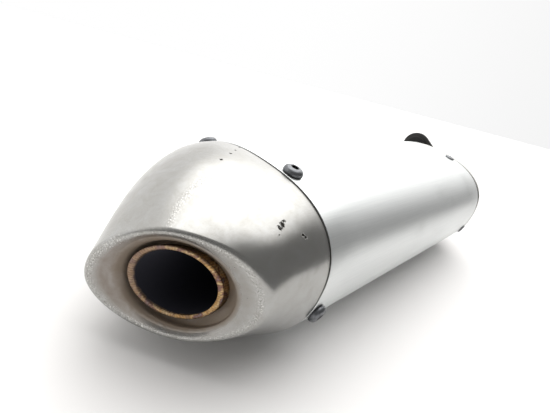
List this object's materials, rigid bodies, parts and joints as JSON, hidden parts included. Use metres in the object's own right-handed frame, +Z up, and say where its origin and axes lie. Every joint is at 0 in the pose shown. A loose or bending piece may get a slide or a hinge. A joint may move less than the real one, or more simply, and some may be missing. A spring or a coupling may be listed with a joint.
{
  "type": "motorcycle exhaust silencer",
  "caption": "Oval silencer can with a long sleeve, a tapered end cap cut to a slanted lens-shaped face, a round offset outlet and a hanger ear at the inlet end.",
  "frame": {"origin": "middle of the underside of the whole silencer, lying on one of its flat sides", "axes": "+Y along the silencer from the outlet to the inlet, X across the wide way of the oval with the outlet offset to +X, +Z up"},
  "size_m": [0.1232, 0.4342, 0.0937],
  "materials": {
    "brushed_aluminium": "satin, brushed along the sleeve",
    "pressed_aluminium": "pressed and hand-polished, worn",
    "sealant": "matt, dark grey",
    "heat_tinted_steel": "straw to brown heat tint",
    "stainless_steel": "plain",
    "black_painted_steel": "satin black",
    "black_rubber": "matt",
    "glass_wool": "loose glass fibre"
  },
  "bodies": {
    "root": {"bracket_rivet_1": "stainless_steel", "bracket_rivet_2": "stainless_steel", "glass_wool_packing": "glass_wool", "inlet_cap": "pressed_aluminium", "inlet_pipe": "stainless_steel", "inlet_rivet_1": "stainless_steel", "inlet_rivet_2": "stainless_steel", "inlet_rivet_3": "stainless_steel", "inlet_rivet_4": "stainless_steel", "inlet_seal": "sealant", "mount_bracket": "black_painted_steel", "mount_bush": "stainless_steel", "mount_grommet": "black_rubber", "outlet_cap": "pressed_aluminium", "outlet_nut_1": "stainless_steel", "outlet_nut_2": "stainless_steel", "outlet_nut_3": "stainless_steel", "outlet_nut_4": "stainless_steel", "outlet_screw_1": "stainless_steel", "outlet_screw_2": "stainless_steel", "outlet_screw_3": "stainless_steel", "outlet_screw_4": "stainless_steel", "outlet_seal": "sealant", "outlet_tube": "heat_tinted_steel", "perforated_core": "stainless_steel", "sleeve": "brushed_aluminium"}
  },
  "joints": []
}
